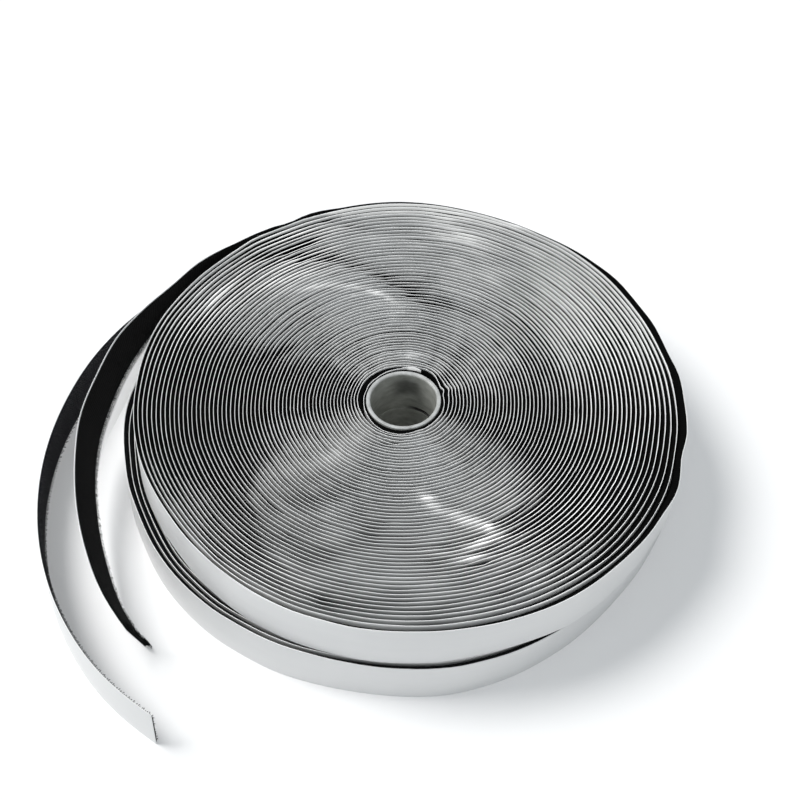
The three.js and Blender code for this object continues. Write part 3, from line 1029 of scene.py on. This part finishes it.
def cloth_group():
    """Matt cloth: a noise on the strip's own length and width, with the fine threads as waves
    along it, gives a tint between two colours and a height for the relief."""
    group = bpy.data.node_groups.new("cloth", "ShaderNodeTree")
    for name, kind in (
        ("Vector", "NodeSocketVector"),
        ("Grain", "NodeSocketFloat"),
        ("Threads", "NodeSocketFloat"),
        ("Dark", "NodeSocketColor"),
        ("Light", "NodeSocketColor"),
    ):
        group.interface.new_socket(name, in_out="INPUT", socket_type=kind)
    group.interface.new_socket("Tint", in_out="OUTPUT", socket_type="NodeSocketColor")
    group.interface.new_socket("Height", in_out="OUTPUT", socket_type="NodeSocketFloat")
    add, link = node_maker(group), group.links.new
    given, made = add("NodeGroupInput"), add("NodeGroupOutput")
    grain = add("ShaderNodeTexNoise", Detail=6.0, Roughness=0.7)
    threads = add("ShaderNodeTexWave", Distortion=2.0, bands_direction="X")
    joined = add("ShaderNodeMath", operation="MULTIPLY_ADD")
    joined.inputs[1].default_value = THREAD_SHARE
    spread = add("ShaderNodeMapRange")
    spread.inputs["From Min"].default_value = CLOTH_DARK_AT
    spread.inputs["From Max"].default_value = CLOTH_LIGHT_AT
    tint = add("ShaderNodeMix", data_type="RGBA")
    link(given.outputs["Vector"], grain.inputs["Vector"])
    link(given.outputs["Grain"], grain.inputs["Scale"])
    link(given.outputs["Vector"], threads.inputs["Vector"])
    link(given.outputs["Threads"], threads.inputs["Scale"])
    link(threads.outputs["Fac"], joined.inputs[0])
    link(grain.outputs["Fac"], joined.inputs[2])
    link(joined.outputs[0], spread.inputs["Value"])
    link(spread.outputs["Result"], tint.inputs["Factor"])
    link(given.outputs["Dark"], tint.inputs[6])
    link(given.outputs["Light"], tint.inputs[7])
    link(tint.outputs[2], made.inputs["Tint"])
    link(joined.outputs[0], made.inputs["Height"])
    return group


cloth = cloth_group()
# Painted shade on the tape packed in the roll, fading out where the tail begins.
TAIL_LENGTH_START = 745 * MM
PACKED_FADE = 40 * MM
PACKED_SHADE = 0.2


def cloth_material(name, dark, light, grain, threads, relief):
    """Matt cloth between two near blacks, on the piece's own UV map. It is painted darker, as shade
    between the turns, where it is packed in the roll, up to the length at which the tail begins."""
    material, shader, add, link = new_material(name, Roughness=1.0, Specular_IOR_Level=0.05)
    place = add("ShaderNodeTexCoord")
    weave = add("ShaderNodeGroup", node_tree=cloth)
    weave.inputs["Grain"].default_value = grain
    weave.inputs["Threads"].default_value = threads
    weave.inputs["Dark"].default_value = (*dark, 1)
    weave.inputs["Light"].default_value = (*light, 1)
    along = add("ShaderNodeSeparateXYZ")
    loose = add("ShaderNodeMapRange")
    loose.inputs["From Min"].default_value = TAIL_LENGTH_START
    loose.inputs["From Max"].default_value = TAIL_LENGTH_START + PACKED_FADE
    loose.inputs["To Min"].default_value = PACKED_SHADE
    roll_shade = add("ShaderNodeMix", data_type="RGBA", blend_type="MULTIPLY", Factor=1.0)
    bump = add("ShaderNodeBump", Strength=0.8, Distance=relief)
    link(place.outputs["UV"], along.inputs["Vector"])
    link(along.outputs["X"], loose.inputs["Value"])
    link(loose.outputs["Result"], roll_shade.inputs[7])
    link(weave.outputs["Tint"], roll_shade.inputs[6])
    link(place.outputs["UV"], weave.inputs["Vector"])
    link(roll_shade.outputs[2], shader.inputs["Base Color"])
    link(weave.outputs["Height"], bump.inputs["Height"])
    link(bump.outputs["Normal"], shader.inputs["Normal"])
    return material


HOOK_BLACK, HOOK_GREY = (0.016, 0.016, 0.018), (0.052, 0.052, 0.057)
LOOP_BLACK, LOOP_GREY = (0.004, 0.004, 0.004), (0.02, 0.02, 0.0205)
hook_weave = dict(grain=900, threads=180, relief=0.2 * MM)
loop_weave = dict(grain=1500, threads=260, relief=0.3 * MM)
cloths = {
    "hook": cloth_material("hook_tape", HOOK_BLACK, HOOK_GREY, **hook_weave),
    "loop": cloth_material("loop_tape", LOOP_BLACK, LOOP_GREY, **loop_weave),
}
for name, path in paths.items():
    depth, rise = tape_section(path, rolls[name]["seed"] + 9, TAIL_THICKNESS[name])
    tape = skin_object(name + "_tape", strip_points(path, depth, rise), strip_uv(path, rise))
    tape.data.materials.append(cloths[name])
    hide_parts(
        name + "_roll_inner_turns", name + "_tape_outer_turns", name + "_tape_tail"
    )
    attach(tape, name + "_roll")


# Hooks: stiff nylon monofilament woven into the hook tape and cut, so that each one stands up from
# the face and ends in a crook. They show on the free tail; in the roll the tape is drawn without
# them.
HOOK_RISE = 0.75 * MM
HOOK_CROOK = 0.28 * MM
HOOK_RADIUS = 0.15 * MM
HOOK_SPACING = 2.9 * MM
HOOK_COLUMN = 0.8 * MM
HOOK_EDGE = 0.2 * MM
HOOK_STRAY_ALONG = 0.12 * MM
HOOK_STRAY_ACROSS = 0.08 * MM
HOOK_SIDEWAYS = (0.7, 1.1)
HOOKS_FROM = 0.1
HOOK_ROOT = 0.8
FIBRE_THREADS = 90
THREAD_SIDES = 4
THREAD_TIP = 0.6
# The crook's middle line: how high it stands and how far it goes sideways, as shares.
CROOK_HIGH = np.array([0, 0.5, 1, 1.3, 1.1, 0.75])
CROOK_SIDEWAYS = np.array([0, 0.03, 0.15, 0.75, 1.45, 1.6])


def tufts_object(name, centres, across, radius):
    """Many thin threads as one mesh. Centres and across are arrays of threads by points by three:
    the middle line, and one way square to it; the other way is square to both. Each thread is a
    tube of few sides that narrows a little to its tip, closed at both ends."""
    threads, points = centres.shape[:2]
    forward = np.gradient(centres, axis=1)
    beside = np.cross(forward, across)
    beside /= np.linalg.norm(beside, axis=2)[..., None]
    turn = np.linspace(0, 2 * math.pi, THREAD_SIDES, endpoint=False)[:, None]
    taper = np.linspace(1, THREAD_TIP, points)[:, None, None] * radius[:, None, None, None]
    round_line = across[:, :, None] * np.cos(turn) + beside[:, :, None] * np.sin(turn)
    rings = centres[:, :, None] + round_line * taper
    index = np.arange(threads * points * THREAD_SIDES).reshape(threads, points, THREAD_SIDES)
    here, there = index[:, :-1], index[:, 1:]
    corners = [here, np.roll(here, -1, axis=2), np.roll(there, -1, axis=2), there]
    faces = np.stack(corners, axis=-1).reshape(-1, 4).tolist()
    faces += index[:, 0, ::-1].tolist() + index[:, -1].tolist()
    mesh = bpy.data.meshes.new(name)
    mesh.from_pydata(rings.reshape(-1, 3).tolist(), [], faces)
    mesh.shade_smooth()
    piece = bpy.data.objects.new(name, mesh)
    bpy.context.scene.collection.objects.link(piece)
    return piece


def fibre_material(name, dark, light, grain, **sockets):
    """Thread between two near blacks, with the cloth's grain on the piece's own place."""
    material, shader, add, link = new_material(name, **sockets)
    place = add("ShaderNodeTexCoord")
    weave = add("ShaderNodeGroup", node_tree=cloth)
    weave.inputs["Grain"].default_value = grain
    weave.inputs["Threads"].default_value = FIBRE_THREADS
    weave.inputs["Dark"].default_value = (*dark, 1)
    weave.inputs["Light"].default_value = (*light, 1)
    link(place.outputs["Object"], weave.inputs["Vector"])
    link(weave.outputs["Tint"], shader.inputs["Base Color"])
    return material


def at_place(path, key, along):
    """A path's values, three for each station, read between its stations at lengths along it."""
    column = path[key]
    return np.stack([np.interp(along, path["length"], column[:, i]) for i in range(3)], axis=-1)


def unit(vectors):
    """The same ways, one long each."""
    return vectors / np.linalg.norm(vectors, axis=-1)[..., None]


hook_path = paths["hook"]
rng = np.random.default_rng(5)
tail_from = hook_path["length"][np.argmax(hook_path["on_tail"] > HOOKS_FROM)]
tail_to = hook_path["length"][-1] - MM
column, row = np.meshgrid(
    np.arange(HOOK_EDGE, TAPE_WIDTH - HOOK_EDGE, HOOK_COLUMN),
    np.arange(tail_from, tail_to, HOOK_SPACING),
)
along = row + HOOK_SPACING * (0.5 * (np.round(column / HOOK_COLUMN) % 2))
along = (along + rng.normal(0, HOOK_STRAY_ALONG, along.shape)).ravel()
rise = (LINER_MARGIN + column + rng.normal(0, HOOK_STRAY_ACROSS, column.shape)).ravel()
foot, out, up = (at_place(hook_path, key, along) for key in ("foot", "outward", "up"))
out, up = unit(out), unit(up)
way = np.cross(up, out)
sunk = LINER_THICKNESS + GLUE + HOOK_ROOT * TAIL_THICKNESS["hook"]
root = foot - out * sunk + up * rise[:, None]
side = np.where(rng.random(along.size) < 0.5, 1.0, -1.0)
side = side * rng.uniform(*HOOK_SIDEWAYS, along.size)
centres = root[:, None] - out[:, None] * (HOOK_RISE * CROOK_HIGH)[:, None]
centres = centres + way[:, None] * (HOOK_CROOK * CROOK_SIDEWAYS)[:, None] * side[:, None, None]
across = np.broadcast_to(up[:, None], centres.shape)
hooks = tufts_object("hooks", centres, across, np.full(along.size, HOOK_RADIUS))
hook_gloss = dict(Roughness=0.45, Specular_IOR_Level=0.35)
hook_fibre = fibre_material("hook_fibre", HOOK_BLACK, HOOK_GREY, grain=700, **hook_gloss)
hooks.data.materials.append(hook_fibre)
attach(hooks, "hook_roll")


# Loop pile: fine brushed nylon loops over the loop tape's face, matted into a felt. Stray ones
# hang past its edges, most of all past the lower one.
PILE_LOOPS = 3600
TIP_LOOPS = 420
PILE_RISE = 0.63 * MM
PILE_RADIUS = 0.06 * MM
PILE_POINTS = 5
PILE_ROOT = 0.6
PILE_REACH = 0.9 * MM
PILE_BOW = 2.6
PILE_SIZES = (0.5, 1.5)
PILE_THICKNESSES = (0.6, 1.2)
PILE_DROOPS = (0.2, 1.3)
PILE_TILT = 0.5
PILE_TURN = 0.4
PILE_TWIST = 0.3
PILE_GREY = (0.012, 0.012, 0.012)
# Shares of the loops that stray at the lower edge and at the upper edge, and the two edges' width.
LOWER_STRAYS = 0.45
UPPER_STRAYS = 0.1
LOWER_BAND = 1.2 * MM
UPPER_BAND = 0.8 * MM
TIP_SPREAD = 1.8 * MM
TIP_SIZE = 1.8

loop_path = paths["loop"]
rng = np.random.default_rng(17)
tail_from = loop_path["length"][np.argmax(loop_path["on_tail"] > 0)]
tail_to = loop_path["length"][-1]
along = rng.uniform(tail_from, tail_to, PILE_LOOPS)
at_tip = np.arange(PILE_LOOPS) < TIP_LOOPS
along[at_tip] = tail_to - np.abs(rng.normal(0, TIP_SPREAD, TIP_LOOPS))
edge_share = rng.random(PILE_LOOPS)
spread = rng.random(PILE_LOOPS)
at_foot, at_top = edge_share < LOWER_STRAYS, edge_share > 1 - UPPER_STRAYS
strip = np.where(at_foot, LOWER_BAND * spread**2, TAPE_WIDTH * spread)
strip = np.where(at_top, TAPE_WIDTH - UPPER_BAND * spread, strip)
foot, out, up = (at_place(loop_path, key, along) for key in ("foot", "outward", "up"))
out, up = unit(out), unit(up)
way = np.cross(up, out)
sunk = LINER_THICKNESS + GLUE + PILE_ROOT * TAIL_THICKNESS["loop"]
root = foot - out * sunk + up * (LINER_MARGIN + strip)[:, None]
share = np.linspace(0, 1, PILE_POINTS)
heading = rng.uniform(0, 2 * math.pi, PILE_LOOPS)
size = rng.uniform(*PILE_SIZES, PILE_LOOPS) * np.where(at_tip, TIP_SIZE, 1)
droop, tilt = -rng.uniform(*PILE_DROOPS, PILE_LOOPS), rng.normal(0, PILE_TILT, PILE_LOOPS)
aslant = PILE_TURN * np.sin(heading) + np.where(at_foot, droop, tilt)
level = way * np.cos(heading)[:, None] + up * aslant[:, None]
high = PILE_RISE * size[:, None] * np.sin(share * PILE_BOW)
centres = root[:, None] - out[:, None] * high[..., None]
centres = centres + level[:, None] * (PILE_REACH * size[:, None] * share)[..., None]
twisted = up[:, None] + PILE_TWIST * way[:, None]
across = unit(np.cross(np.gradient(centres, axis=1), twisted))
thickness = rng.uniform(*PILE_THICKNESSES, PILE_LOOPS) * PILE_RADIUS
pile = tufts_object("loop_pile", centres, across, thickness)
pile_gloss = dict(Roughness=0.9, Specular_IOR_Level=0.08)
loop_fibre = fibre_material("loop_fibre", LOOP_BLACK, PILE_GREY, grain=900, **pile_gloss)
pile.data.materials.append(loop_fibre)
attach(pile, "loop_roll")
